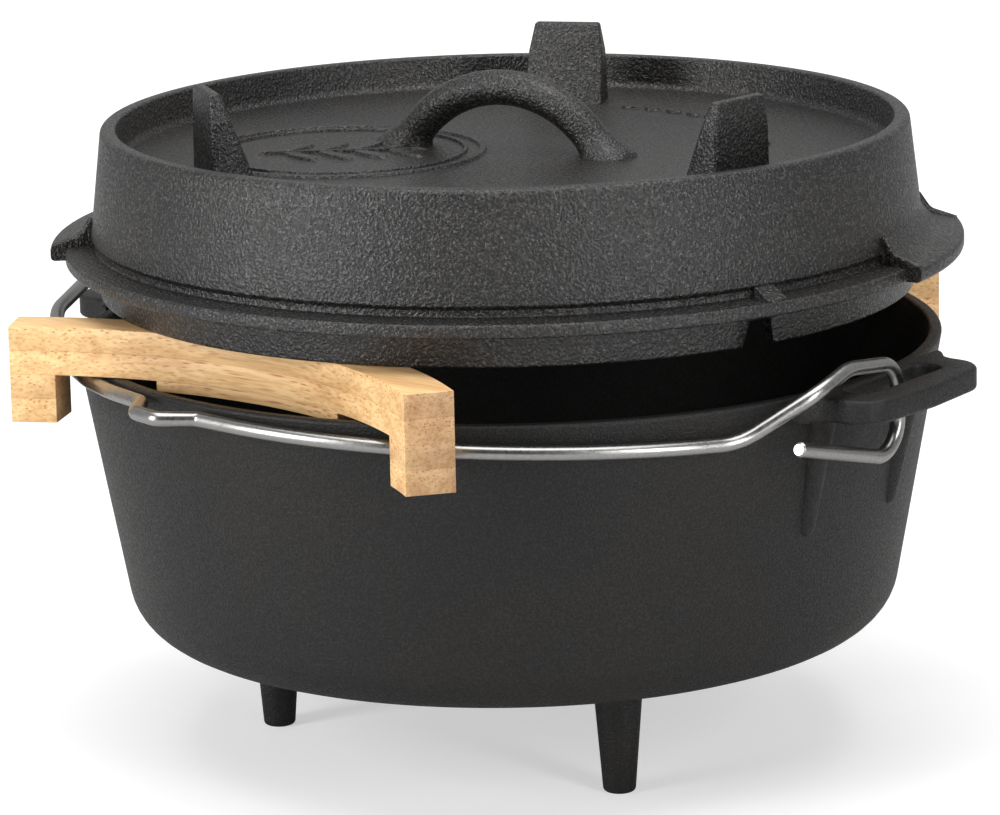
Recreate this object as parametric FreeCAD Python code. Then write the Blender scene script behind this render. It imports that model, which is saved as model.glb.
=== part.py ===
"""Cast iron camp dutch oven: footed pot, deep lid with trivet feet, wire bail, two laminated bamboo bars.

Millimetres, +Z up. The origin is on the ground, under the pot's axis. +X runs through the pot's right ear.
The lid stands raised on the two bars, which lie across the pot's rim, and the bail is folded to -Y.
"""
import FreeCAD, Part
import os
from math import acos, asin, cos, pi, radians, sin, tan

from FreeCAD import Vector

os.makedirs("parts", exist_ok=True)

# Driving dimensions of the pot
RIM_RADIUS = 150.0
RIM_HEIGHT = 144.5
POT_WALL = 4.5
POT_FLOOR = 5.0
BASE_RADIUS = 131.7
BASE_HEIGHT = 41.9
BASE_CORNER = 19.0
RIM_ROUND = 1.2
LEG_CIRCLE = 84.9
LEG_TIP_RADIUS = 5.5
LEG_ROOT_RADIUS = 9.0
LEG_FOOT_ROUND = 1.5
LEG_AZIMUTHS = (90.0, 210.0, 330.0)

# Driving dimensions of the ears
EAR_REACH = 172.0
EAR_HALF_WIDTH = 37.0
EAR_THICKNESS = 8.0
EAR_CORNER = 12.0
EAR_ROOT_SPREAD = 8.0
EAR_HOLE_NEAR = 151.0
EAR_HOLE_FAR = 161.5
EAR_HOLE_HALF = 24.0
EAR_RIB_AZIMUTH = 10.5
EAR_RIB_LENGTH = 40.0
EAR_RIB_TOP_RADIUS = 6.0
EAR_RIB_TIP_RADIUS = 3.6
EAR_HOLE_CORNER = 4.0
EAR_EDGE_ROUND = 1.4

# Driving dimensions of the lid
LID_RIM_RADIUS = 138.9
LID_HEIGHT = 57.6
LID_WALL_FOOT_RADIUS = 143.3
LID_WALL_FOOT = 20.6
LID_TRAY_DEPTH = 11.6
LID_PLATE = 5.0
LID_WALL = 5.0
LIP_WIDTH = 5.2
TRAY_RADIUS = 132.4
GROOVE_DEPTH = 1.3
GROOVE_HEIGHT = 1.4
SKIRT_WALL = 4.4
UNDERSIDE_RADIUS = 135.5
UNDERSIDE_CORNER = 8.0
FLANGE_RADIUS = 152.4
FLANGE_TOP = 16.4
FLANGE_BOTTOM = 11.9
SKIRT_RADIUS = 142.2
SKIRT_TIP_RADIUS = 140.6
LID_FEET_AZIMUTHS = (-6.8, 113.2, 233.2)
LID_FOOT_OUTER = 107.0
LID_FOOT_HEIGHT = 74.1
LID_FOOT_SHOULDER = 10.0
LID_FOOT_DEPTHS = (14.8, 7.3, 4.0)
LID_FOOT_HALVES = (14.4, 13.6, 11.8)
TAB_RADIUS = 157.5
TAB_HALF_ANGLE = 16.8
TAB_AZIMUTH = 23.2
TAB_RAMP_START = 3.5
TAB_RAMP_ROUND = 6.0
TAB_BEAD_ANGLE = 1.0
PROBE_AZIMUTH = -18.8
PROBE_RIB_ANGLE = 3.0
PROBE_RIB_HEIGHT = 4.0
PROBE_SLOT_HEIGHT = 9.0
PROBE_SLOT_HALVES = (7.0, 4.2)
LID_HANDLE_AZIMUTH = 9.1
LID_HANDLE_HALF_SPAN = 37.0
LID_HANDLE_RISE = 21.4
LID_HANDLE_RADIUS = 6.1

# Driving dimensions of the bail. A hook bend is (y, height, corner radius), a shoulder is (y, height),
# the entry and the notch's feet and tops are (azimuth, height), and the rise point adds its radius.
WIRE_RADIUS = 2.5
HOOK_PLANE = 156.0
HOOK_BENDS = ((-57.2, 132.0, 0), (3.3, 116.5, 11.0), (3.3, 149.0, 11.0), (-27.0, 152.8, 22.0))
RIGHT_SHOULDER = (-44.0, 148.6)
LEFT_SHOULDER = (-42.0, 152.6)
SHOULDER_ROUND = 18.0
ARCH_RADIUS = 152.9
ARCH_ENTRY = (-25.3, 133.4)
ARCH_ENTRY_ROUND = 24.0
ARCH_START = -36.0
ARCH_END = -84.4
ARCH_HEIGHTS = (134.6, 135.8, 137.0, 138.3, 139.5)
ARCH_ROUND = 140.0
NOTCH_RADIUS = 162.5
NOTCH_FEET = ((-95.6, 140.5), (-106.4, 141.6))
NOTCH_TOPS = ((-98.9, 140.9), (-102.8, 141.4))
NOTCH_BEND = 5.0
UNDER_BAR_RADIUS = 153.3
UNDER_BAR_HEIGHT = 141.6
UNDER_BAR_AZIMUTHS = (-114.0, -121.5, -129.5)
RISE_POINT = (-146.0, 158.5, 151.5)
LONG_ROUND = 60.0

# Driving dimensions of the bamboo bars
PLY = 8.2
BAR_WIDTH = 16.5
BAR_CURVE = 160.0
BAR_HALF_ANGLE = 33.5
LEG_BLOCK_ANGLE = 5.6
BAR_FACE_DISTANCE = 128.3
PAD_HALF_ANGLE = 14.7
PAD_DEPTH = 3.5
FRONT_BAR_AZIMUTH = -94.3
REAR_BAR_AZIMUTH = 95.5
SEAT_GAP = 0.2

BAR_UNDERSIDE = RIM_HEIGHT + SEAT_GAP
LID_BASE = BAR_UNDERSIDE + 2 * PLY + SEAT_GAP

Z_AXIS = Vector(0, 0, 1)
ORIGIN = Vector(0, 0, 0)


def polar(azimuth, radius, height):
    return Vector(radius * cos(radians(azimuth)), radius * sin(radians(azimuth)), height)


def rounded_edges(points, radii):
    """Straight edges through the points, with each inner corner rounded by a tangent arc."""
    edges = []
    last = points[0]
    for i in range(1, len(points) - 1):
        corner = points[i]
        back = (points[i - 1] - corner).normalize()
        ahead = (points[i + 1] - corner).normalize()
        half = acos(max(-1.0, min(1.0, back.dot(ahead)))) / 2
        if radii[i] <= 0 or half > radians(89.9):
            edges.append(Part.LineSegment(last, corner).toShape())
            last = corner
            continue
        reach = radii[i] / tan(half)
        start = corner + back * reach
        end = corner + ahead * reach
        bisector = (back + ahead).normalize()
        middle = corner + bisector * (radii[i] / sin(half) - radii[i])
        if (start - last).dot(back) > 1e-4:
            raise ValueError("corner %d is rounded past the one before it" % i)
        if (start - last).Length > 1e-4:
            edges.append(Part.LineSegment(last, start).toShape())
        edges.append(Part.Arc(start, middle, end).toShape())
        last = end
    if (points[-1] - last).dot(points[-2] - points[-1]) > 1e-4:
        raise ValueError("the last corner is rounded past the end")
    edges.append(Part.LineSegment(last, points[-1]).toShape())
    return edges


def turned(profile, angle=360.0, start=0.0):
    """A solid turned about Z from a closed list of (radius, height, corner radius)."""
    points = [Vector(r, 0, z) for r, z, _ in profile]
    radii = [rounding for _, _, rounding in profile]
    edges = rounded_edges(points + [points[0]], radii + [0])
    face = Part.Face(Part.Wire(edges))
    solid = face.revolve(ORIGIN, Z_AXIS, angle)
    solid.rotate(ORIGIN, Z_AXIS, start)
    return solid


def tube(points, radii, tube_radius):
    """A round bar swept along straight runs joined by tangent arcs."""
    path = Part.Wire(rounded_edges(points, radii))
    direction = points[1] - points[0]
    ring = Part.Wire(Part.makeCircle(tube_radius, points[0], direction))
    solid = path.makePipeShell([ring], True, False)
    expected = pi * tube_radius ** 2 * path.Length
    print("tube volume over section times length", round(solid.Volume / expected, 4))
    return solid


def frustum_block(sections):
    """A block lofted through rectangles: each is (height, near radius, far radius, half width)."""
    wires = []
    for height, near, far, half in sections:
        corners = [Vector(near, -half, height), Vector(far, -half, height),
                   Vector(far, half, height), Vector(near, half, height)]
        wires.append(Part.makePolygon(corners + [corners[0]]))
    return Part.makeLoft(wires, True, True)


def save(shape, node):
    if len(shape.Solids) == 1:
        shape = shape.Solids[0]
    if not shape.isValid():
        raise ValueError(node + " is not a valid shape")
    shape.exportStep("parts/" + node + ".step")
    print(node, len(shape.Solids), round(shape.Volume / 1000, 2), "cm3")


# ---- Pot ----

def wall_radius(height):
    """Outer radius of the pot's tapered wall."""
    slope = (RIM_RADIUS - BASE_RADIUS) / (RIM_HEIGHT - BASE_HEIGHT)
    return BASE_RADIUS + slope * (height - BASE_HEIGHT)


def pot_body():
    return turned([(0, BASE_HEIGHT, 0), (BASE_RADIUS, BASE_HEIGHT, BASE_CORNER),
                   (RIM_RADIUS, RIM_HEIGHT, RIM_ROUND), (0, RIM_HEIGHT, 0)])


def pot_cavity():
    floor = BASE_HEIGHT + POT_FLOOR
    above = RIM_HEIGHT + 5
    return turned([(0, floor, 0), (wall_radius(floor) - POT_WALL, floor, BASE_CORNER - POT_WALL),
                   (wall_radius(above) - POT_WALL, above, 0), (0, above, 0)])


def leg(azimuth):
    root_height = BASE_HEIGHT + POT_FLOOR / 2
    cone = Part.makeCone(LEG_TIP_RADIUS, LEG_ROOT_RADIUS, root_height)
    tip = [edge for edge in cone.Edges if edge.BoundBox.ZMax < 0.01]
    cone = cone.makeFillet(LEG_FOOT_ROUND, tip)
    cone.translate(polar(azimuth, LEG_CIRCLE, 0))
    return cone


def ear():
    """The flat loop on the +X side, level with the rim, with a slot for the bail's hook."""
    inside = RIM_RADIUS - POT_WALL
    spread = EAR_HALF_WIDTH + EAR_ROOT_SPREAD
    outline = [(inside, 0, 0), (inside, -spread, 0), (RIM_RADIUS - 2, -spread, 3),
               (RIM_RADIUS + 4, -EAR_HALF_WIDTH, 8), (EAR_REACH - 1, -EAR_HALF_WIDTH + 1, EAR_CORNER),
               (EAR_REACH + 1, 0, 0),
               (EAR_REACH - 1, EAR_HALF_WIDTH - 1, EAR_CORNER), (RIM_RADIUS + 4, EAR_HALF_WIDTH, 8),
               (RIM_RADIUS - 2, spread, 3), (inside, spread, 0)]
    base = RIM_HEIGHT - EAR_THICKNESS
    points = [Vector(x, y, base) for x, y, _ in outline]
    radii = [rounding for _, _, rounding in outline]
    wire = Part.Wire(rounded_edges(points + [points[0]], radii + [0]))
    plate = Part.Face(wire).extrude(Vector(0, 0, EAR_THICKNESS))
    hole = Part.makeBox(EAR_HOLE_FAR - EAR_HOLE_NEAR, 2 * EAR_HOLE_HALF, EAR_THICKNESS + 10,
                        Vector(EAR_HOLE_NEAR, -EAR_HOLE_HALF, base - 5))
    upright = [edge for edge in hole.Edges if edge.BoundBox.ZLength > EAR_THICKNESS]
    plate = plate.cut(hole.makeFillet(EAR_HOLE_CORNER, upright))
    rims = [edge for edge in plate.Edges
            if edge.BoundBox.ZLength < 0.01 and edge.BoundBox.XMax > RIM_RADIUS + 0.5]
    return plate.makeFillet(EAR_EDGE_ROUND, rims)


def ear_rib(azimuth):
    """The tapered rib that carries one arm of an ear, half sunk in the wall."""
    top = RIM_HEIGHT - EAR_THICKNESS + 1.0
    bottom = top - EAR_RIB_LENGTH
    start = polar(azimuth, wall_radius(top) - 1.5, top)
    end = polar(azimuth, wall_radius(bottom) - 2.0, bottom)
    length = (end - start).Length
    cone = Part.makeCone(EAR_RIB_TOP_RADIUS, EAR_RIB_TIP_RADIUS, length, start, end - start)
    return cone.fuse(Part.makeSphere(EAR_RIB_TIP_RADIUS, end))


def pot_casting():
    shape = pot_body()
    extras = [leg(azimuth) for azimuth in LEG_AZIMUTHS]
    for side in (0, 180):
        for offset in (-EAR_RIB_AZIMUTH, EAR_RIB_AZIMUTH):
            extras.append(ear_rib(side + offset))
        loop = ear()
        loop.rotate(ORIGIN, Z_AXIS, side)
        extras.append(loop)
    shape = shape.fuse(extras)
    return shape.cut(pot_cavity())


# ---- Lid ----

def lid_body():
    top = LID_BASE + LID_HEIGHT
    tray = top - LID_TRAY_DEPTH
    underside = tray - LID_PLATE
    flange_top = LID_BASE + FLANGE_TOP
    seat = LID_BASE + FLANGE_BOTTOM
    wall_foot = LID_BASE + LID_WALL_FOOT
    groove = LID_WALL_FOOT_RADIUS - GROOVE_DEPTH
    groove_top = wall_foot - GROOVE_HEIGHT
    return turned([
        (0, tray, 0), (TRAY_RADIUS, tray, 3.0),
        (LID_RIM_RADIUS - LIP_WIDTH, top, 1.0), (LID_RIM_RADIUS, top, 2.0),
        (LID_WALL_FOOT_RADIUS, wall_foot, 0.8), (groove, groove_top, 0.6),
        (groove, flange_top + 0.4, 0.8), (FLANGE_RADIUS, flange_top, 1.2),
        (FLANGE_RADIUS, seat, 1.0), (SKIRT_RADIUS, seat, 0.8),
        (SKIRT_TIP_RADIUS, LID_BASE, 1.0), (SKIRT_TIP_RADIUS - SKIRT_WALL, LID_BASE, 1.0),
        (groove - LID_WALL + 0.4, groove_top, UNDERSIDE_CORNER),
        (UNDERSIDE_RADIUS, underside, UNDERSIDE_CORNER), (0, underside, 0)])


def lid_foot(azimuth):
    """A wedge foot: upright outside, slanted inside, narrowing upwards."""
    tray = LID_BASE + LID_HEIGHT - LID_TRAY_DEPTH
    top = LID_BASE + LID_FOOT_HEIGHT
    heights = (tray - 2, top - LID_FOOT_SHOULDER, top)
    sections = [(height, LID_FOOT_OUTER - depth, LID_FOOT_OUTER, half)
                for height, depth, half in zip(heights, LID_FOOT_DEPTHS, LID_FOOT_HALVES)]
    block = frustum_block(sections)
    block.rotate(ORIGIN, Z_AXIS, azimuth)
    return block


def lid_handle():
    """The arched bar across the tray: one round arc with its feet set in the plate."""
    tray = LID_BASE + LID_HEIGHT - LID_TRAY_DEPTH
    half = LID_HANDLE_HALF_SPAN
    curve = (half ** 2 + LID_HANDLE_RISE ** 2) / (2 * LID_HANDLE_RISE)
    centre = tray + LID_HANDLE_RISE - curve
    sink = asin((tray - 2.5 - centre) / curve)
    start = Vector(-curve * cos(sink), 0, centre + curve * sin(sink))
    end = Vector(curve * cos(sink), 0, centre + curve * sin(sink))
    top = Vector(0, 0, centre + curve)
    arc = Part.Arc(start, top, end).toShape()
    ring = Part.Wire(Part.makeCircle(LID_HANDLE_RADIUS, start, arc.tangentAt(arc.FirstParameter)))
    bar = Part.Wire([arc]).makePipeShell([ring], True, False)
    flares = [Part.makeCone(LID_HANDLE_RADIUS + 3.2, LID_HANDLE_RADIUS, 5.5,
                            Vector(side * (half + 1.0), 0, tray - 1.0), Vector(-side * 0.5, 0, 1))
              for side in (-1, 1)]
    bar = bar.fuse(flares)
    bar = bar.cut(Part.makeBox(200, 60, 20, Vector(-100, -30, tray - 2.0 - 20)))
    bar.rotate(ORIGIN, Z_AXIS, LID_HANDLE_AZIMUTH)
    return bar


def lid_tab(azimuth):
    """A lifting tab: the flange pushed outwards, ramped up to the wall, with a bead along each side."""
    seat = LID_BASE + FLANGE_BOTTOM
    lip = LID_BASE + FLANGE_TOP + 0.4
    inside = LID_WALL_FOOT_RADIUS - 3
    ramp = [(inside, seat, 0), (TAB_RADIUS, seat, 1.5), (TAB_RADIUS, lip, 1.5),
            (LID_WALL_FOOT_RADIUS + TAB_RAMP_START, lip + 2.8, TAB_RAMP_ROUND), (inside, lip + 12, 0)]
    bead = [(inside, seat + 1, 0), (TAB_RADIUS - 0.4, seat + 1, 0), (TAB_RADIUS - 0.4, lip + 1.1, 1.0),
            (LID_WALL_FOOT_RADIUS + TAB_RAMP_START, lip + 3.9, TAB_RAMP_ROUND), (inside, lip + 12.5, 0)]
    shape = turned(ramp, 2 * TAB_HALF_ANGLE, azimuth - TAB_HALF_ANGLE)
    for start in (azimuth - TAB_HALF_ANGLE, azimuth + TAB_HALF_ANGLE - TAB_BEAD_ANGLE):
        shape = shape.fuse(turned(bead, TAB_BEAD_ANGLE, start))
    return shape


def probe_rib():
    """The small rib over the flange that marks the thermometer slot."""
    shelf = LID_BASE + FLANGE_TOP
    inside = LID_WALL_FOOT_RADIUS - 2.5
    tip = FLANGE_RADIUS - 1.5
    crest = shelf + PROBE_RIB_HEIGHT
    profile = [(inside, shelf - 1, 0), (tip, shelf - 1, 0), (tip, shelf + 0.6, 0.5),
               (LID_WALL_FOOT_RADIUS + 0.4, crest, 1.0), (inside, crest, 0)]
    return turned(profile, PROBE_RIB_ANGLE, PROBE_AZIMUTH - PROBE_RIB_ANGLE / 2)


def probe_slot():
    """The flared slot in the skirt that lets a thermometer lead into the pot."""
    low = LID_BASE - 2
    high = LID_BASE + PROBE_SLOT_HEIGHT
    wide, narrow = PROBE_SLOT_HALVES
    near = SKIRT_TIP_RADIUS - 12
    far = SKIRT_RADIUS + 3
    block = frustum_block([(low, near, far, wide), (high, near, far, narrow)])
    block.rotate(ORIGIN, Z_AXIS, PROBE_AZIMUTH)
    return block


def lid_casting():
    extras = [lid_foot(azimuth) for azimuth in LID_FEET_AZIMUTHS]
    extras.append(lid_handle())
    extras += [lid_tab(TAB_AZIMUTH), lid_tab(TAB_AZIMUTH + 180)]
    extras.append(probe_rib())
    return lid_body().fuse(extras).cut(probe_slot())


# ---- Bail ----

def hook_points(side, shoulder):
    """One end hook, from its free end over the ear's front arm to its shoulder, with each rounding."""
    x = side * HOOK_PLANE
    y, z = shoulder
    return [(Vector(x, *bend[:2]), bend[2]) for bend in HOOK_BENDS] + [(Vector(x, y, z), SHOULDER_ROUND)]


def bail_wire():
    """The bail lies around the front of the pot, just outside the wall, with its hanging notch."""
    step = (ARCH_START - ARCH_END) / (len(ARCH_HEIGHTS) - 1)
    vertex_radius = ARCH_RADIUS / cos(radians(step / 2))
    entry_azimuth, entry_height = ARCH_ENTRY
    arch = [(polar(entry_azimuth, ARCH_RADIUS, entry_height), ARCH_ENTRY_ROUND)]
    for k, height in enumerate(ARCH_HEIGHTS):
        arch.append((polar(ARCH_START - step * k, vertex_radius, height), ARCH_ROUND))
    right_foot, left_foot = NOTCH_FEET
    right_top, left_top = NOTCH_TOPS
    for (azimuth, height), radius in ((right_foot, ARCH_RADIUS), (right_top, NOTCH_RADIUS),
                                      (left_top, NOTCH_RADIUS), (left_foot, ARCH_RADIUS)):
        arch.append((polar(azimuth, radius, height), NOTCH_BEND))
    for azimuth in UNDER_BAR_AZIMUTHS:
        arch.append((polar(azimuth, UNDER_BAR_RADIUS, UNDER_BAR_HEIGHT), LONG_ROUND))
    arch.append((polar(*RISE_POINT), LONG_ROUND))
    route = hook_points(1, RIGHT_SHOULDER) + arch + hook_points(-1, LEFT_SHOULDER)[::-1]
    points = [point for point, _ in route]
    radii = [rounding for _, rounding in route]
    return tube(points, radii, WIRE_RADIUS)


# ---- Bamboo bars ----

def bar_slice(low_angle, high_angle, top, bottom, azimuth):
    """A piece of the curved bar between two angles about the curve's centre."""
    centre = BAR_FACE_DISTANCE + BAR_CURVE
    height = top - bottom
    base = Vector(0, 0, bottom)
    spread = high_angle - low_angle
    outer = Part.makeCylinder(BAR_CURVE + BAR_WIDTH, height, base, Z_AXIS, spread)
    inner = Part.makeCylinder(BAR_CURVE, height + 2, base - Vector(0, 0, 1), Z_AXIS)
    piece = outer.cut(inner)
    piece.rotate(ORIGIN, Z_AXIS, 180 + low_angle)
    piece.translate(Vector(centre, 0, 0))
    piece.rotate(ORIGIN, Z_AXIS, azimuth)
    return piece


def bar_plies(name, azimuth):
    """The glued bamboo strips of one bar, each with its node name."""
    top = BAR_UNDERSIDE + 2 * PLY
    inner = BAR_HALF_ANGLE - LEG_BLOCK_ANGLE
    full = (-BAR_HALF_ANGLE, BAR_HALF_ANGLE)
    plies = {
        name + "_top_ply": bar_slice(*full, top, top - PLY, azimuth),
        name + "_second_ply": bar_slice(*full, top - PLY, top - 2 * PLY, azimuth),
        name + "_locating_pad": bar_slice(-PAD_HALF_ANGLE, PAD_HALF_ANGLE, BAR_UNDERSIDE,
                                          BAR_UNDERSIDE - PAD_DEPTH, azimuth)}
    for side, angles in (("left", (inner, BAR_HALF_ANGLE)), ("right", (-BAR_HALF_ANGLE, -inner))):
        for row, label in enumerate(("upper", "lower")):
            level = BAR_UNDERSIDE - row * PLY
            plies[name + "_" + side + "_leg_" + label] = bar_slice(*angles, level, level - PLY, azimuth)
    return plies


save(pot_casting(), "pot_casting")
save(lid_casting(), "lid_casting")
save(bail_wire(), "bail_wire")
for bar_name, bar_azimuth in (("front_bar", FRONT_BAR_AZIMUTH), ("rear_bar", REAR_BAR_AZIMUTH)):
    for node_name, ply_shape in bar_plies(bar_name, bar_azimuth).items():
        save(ply_shape, node_name)
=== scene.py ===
"""The looks of the cast iron camp oven: castings, wire bail and laminated bamboo bars.

Metres, +Z up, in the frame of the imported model. Lengths given in millimetres are multiplied by MM.
Angles are in degrees, and azimuths turn anticlockwise from the pot's right ear.
"""

from math import acos, asin, cos, pi, radians, sin, tan

import bmesh
import bpy
from mathutils import Matrix, Vector


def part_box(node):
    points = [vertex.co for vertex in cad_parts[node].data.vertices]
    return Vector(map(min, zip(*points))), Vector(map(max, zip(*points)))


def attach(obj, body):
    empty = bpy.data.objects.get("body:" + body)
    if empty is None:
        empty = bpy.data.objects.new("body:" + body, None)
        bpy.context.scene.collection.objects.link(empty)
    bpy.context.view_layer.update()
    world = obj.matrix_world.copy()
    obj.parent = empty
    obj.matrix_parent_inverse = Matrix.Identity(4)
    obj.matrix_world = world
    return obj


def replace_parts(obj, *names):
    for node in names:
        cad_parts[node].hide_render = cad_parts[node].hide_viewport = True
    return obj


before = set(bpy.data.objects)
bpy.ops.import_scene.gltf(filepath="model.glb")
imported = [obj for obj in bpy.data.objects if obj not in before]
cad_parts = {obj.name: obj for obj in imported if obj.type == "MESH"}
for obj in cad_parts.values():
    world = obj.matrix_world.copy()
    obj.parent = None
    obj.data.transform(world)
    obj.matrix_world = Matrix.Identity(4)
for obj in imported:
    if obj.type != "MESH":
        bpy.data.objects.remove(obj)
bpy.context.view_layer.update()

MM = 0.001
Z_AXIS = Vector((0, 0, 1))
ROUND_STEPS = 256

# How far one cast feature is sunk into the next
SUNK = 2.0 * MM

# The pot, from its rim down
POT_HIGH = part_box("pot_casting")[1]
RIM_Z = POT_HIGH.z
RIM_R = 150.0 * MM
BASE_R = 131.7 * MM
BASE_Z = 41.9 * MM
WALL = 4.5 * MM
FLOOR = 5.0 * MM
LEG_CIRCLE = 84.9 * MM
LEG_AZIMUTHS = (90.0, 210.0, 330.0)
LEG_TIP_R = 5.5 * MM
LEG_ROOT_R = 9.0 * MM

# The pot's ears, each with a slot through it and two ribs under it
EAR_X = POT_HIGH.x
EAR_THICK = 8.0 * MM
EAR_HALF_WIDTH = 37.0 * MM
EAR_ROOT_HALF_WIDTH = 45.0 * MM
EAR_EDGE_ROUND = 1.4 * MM
SLOT_NEAR = 151.0 * MM
SLOT_FAR = 161.5 * MM
SLOT_REACH = 24.0 * MM
RIB_OFFSET = 10.5
RIB_LENGTH = 40.0 * MM
RIB_TOP_R = 6.0 * MM
RIB_END_R = 3.6 * MM
RIB_END_ROUND = 3.5 * MM

# The lid, from its skirt up
LID_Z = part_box("lid_casting")[0].z
LID_TOP = LID_Z + 57.6 * MM
TRAY = LID_TOP - 11.6 * MM
UNDERSIDE = TRAY - 5.0 * MM
FLANGE_TOP = LID_Z + 16.4 * MM
FLANGE_SEAT = LID_Z + 11.9 * MM
FLANGE_LIP = FLANGE_TOP + 0.4 * MM
WALL_FOOT = LID_Z + 20.6 * MM
LID_RIM_R = 138.9 * MM
WALL_FOOT_R = 143.3 * MM
FLANGE_R = 152.4 * MM
SKIRT_R = 142.2 * MM
SKIRT_TIP_R = 140.6 * MM
GROOVE_R = WALL_FOOT_R - 1.3 * MM
GROOVE_TOP = WALL_FOOT - 1.4 * MM

# The lid's feet, each a wedge
FOOT_AZIMUTHS = (-6.8, 113.2, 233.2)
FOOT_TOP = LID_Z + 74.1 * MM
FOOT_OUTER = 107.0 * MM
FOOT_EDGE_ROUND = 1.0 * MM

# The lid's tabs, and the slot for a thermometer lead
TAB_AZIMUTHS = (23.2, 203.2)
TAB_HALF_ANGLE = 16.8
TAB_R = 157.5 * MM
BEAD_R = 1.3 * MM
BEAD_INSET = 0.6
PROBE_AZIMUTH = -18.8
PROBE_RIB_ANGLE = 3.0

# The lid's arched handle, and the share of its length over which each foot flares
HANDLE_AZIMUTH = 9.1
HANDLE_HALF_SPAN = 37.0 * MM
HANDLE_RISE = 21.4 * MM
HANDLE_R = 6.1 * MM
HANDLE_DEPTH = 8 * MM
HANDLE_STEPS = 64
FLARE = 5.0 * MM
FLARE_START = 0.05
FLARE_LENGTH = 0.11

# The plain badge and the dashes, both raised a little from the tray
BADGE_PLACE = Vector((-46.0, -33.0, 0.0)) * MM
BADGE_RELIEF = 0.9 * MM
BADGE_ROOT = 0.5 * MM
SPRIG_AZIMUTH = 40
LEAF_ANGLE = 55
LEAF_STEPS = (-20, -8, 4, 16)
DASH_AZIMUTHS = range(36, 97, 6)
DASH_CIRCLE = 90 * MM

# The bail's wire. Its corners are in mm: a hook's are (y, height, rounding) from the tip,
# and the others are (azimuth, radius, height, rounding)
WIRE_R = 2.5 * MM
WIRE_CHAMFER = 0.6 * MM
WIRE_SPACING = 0.2 * MM
HOOK_X = 156.0 * MM
HOOK = ((-57.2, 132.0, 0), (3.3, 116.5, 11), (3.3, 149.0, 11), (-27.0, 152.8, 22))
RIGHT_SHOULDER = (-44.0, 148.6, 18)
LEFT_SHOULDER = (-42.0, 152.6, 18)
ARCH_ENTRY = (-25.3, 152.9, 133.4, 24)
ARCH_R = 152.9 * MM
ARCH_START = -36.0
ARCH_END = -84.4
ARCH_HEIGHTS = (134.6, 135.8, 137.0, 138.3, 139.5)
ARCH_ROUND = 140 * MM
NOTCH = ((-95.6, 152.9, 140.5, 5), (-98.9, 162.5, 140.9, 5), (-102.8, 162.5, 141.4, 5),
         (-106.4, 152.9, 141.6, 5))
UNDER_BAR = ((-114.0, 153.3, 141.6, 60), (-121.5, 153.3, 141.6, 60), (-129.5, 153.3, 141.6, 60),
             (-146.0, 158.5, 151.5, 60))

# The bamboo bars, glued from strips and curved about a centre beyond the pot
BAR_AZIMUTHS = {"front_bar": -94.3, "rear_bar": 95.5}
PLY = 8.2 * MM
BAR_CENTRE = 288.3 * MM
BAR_INNER = 160.0 * MM
BAR_OUTER = 176.5 * MM
BAR_HALF_ANGLE = 33.5
BAR_LEG_ANGLE = 27.9
BAR_PAD_ANGLE = 14.7
BAR_STEP_ANGLE = 1.2
BAR_EDGE_ROUND = 0.18 * MM
PLY_SHADES = {"top_ply": 1.0, "second_ply": 1.05, "locating_pad": 0.98, "leg_upper": 0.93, "leg_lower": 1.0}

# Colours and tints
WHITE = (1.0, 1.0, 1.0)
COOL_IRON_TINT = (0.92, 0.92, 0.94)
RUSTY_IRON_TINT = (1.20, 1.04, 0.92)
WIRE_DARK = (0.33, 0.325, 0.315)
WIRE_LIGHT = (0.38, 0.375, 0.365)
BAMBOO_LIGHT = (0.95, 0.63, 0.31)
BAMBOO_DEEP = (0.77, 0.465, 0.205)
FIBRE_TINT = (0.78, 0.68, 0.57)
FIBRE_END_TINT = (0.56, 0.36, 0.22)
# Darkens the faces across a bar's fibres: partly the end grain's own tone, partly painted shade
END_GRAIN_AND_SHADE_TINT = (0.62, 0.59, 0.60, 1.0)
FLOOR_GREY = (0.62, 0.62, 0.62, 1.0)

# The studio: its front's azimuth, the point that the lights face, and the soft boxes as
# (name, azimuth, distance, height, (width, height of the box), power)
STUDIO_FRONT = 306.0
LIT_POINT = Vector((0, 0, 0.12))
SOFT_BOXES = (("overhead", STUDIO_FRONT, 0.2, 2.2, (2.0, 2.0), 44.0),
              ("left", 248.0, 2.2, 0.7, (0.7, 1.5), 37.0),
              ("right", 344.0, 2.2, 0.7, (0.5, 1.5), 25.0))


# ---- Small helpers for shapes ----

def polar(azimuth, radius, height=0.0):
    """The point at an azimuth and radius about the pot's axis."""
    return Vector((radius * cos(radians(azimuth)), radius * sin(radians(azimuth)), height))


def filleted(corners, steps=8):
    """Points along straight runs, with each corner (point, radius) rounded by a tangent arc."""
    straight = radians(89.5)
    points = [corners[0][0]]
    for i in range(1, len(corners) - 1):
        corner, radius = corners[i]
        back = (corners[i - 1][0] - corner).normalized()
        ahead = (corners[i + 1][0] - corner).normalized()
        half = acos(max(-1.0, min(1.0, back.dot(ahead)))) / 2
        if radius <= 0 or half > straight:
            points.append(corner)
            continue
        centre = corner + (back + ahead).normalized() * (radius / sin(half))
        start = corner + back * (radius / tan(half)) - centre
        end = corner + ahead * (radius / tan(half)) - centre
        for k in range(steps + 1):
            points.append(centre + start.slerp(end, k / steps) * start.length)
    points.append(corners[-1][0])
    return points


def profile(corners, steps=6):
    """The rounded profile through corners of (radius, height, rounding in mm)."""
    points = [(Vector((r, 0, z)), rounding * MM) for r, z, rounding in corners]
    return filleted(points, steps)


def only(kind, items):
    """The items of one kind, such as the vertices that an operator returns."""
    return [item for item in items if isinstance(item, kind)]


def turned(bm, azimuth):
    """Turns a whole shape about the pot's axis."""
    bmesh.ops.rotate(bm, verts=bm.verts, matrix=Matrix.Rotation(radians(azimuth), 3, "Z"))


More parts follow.
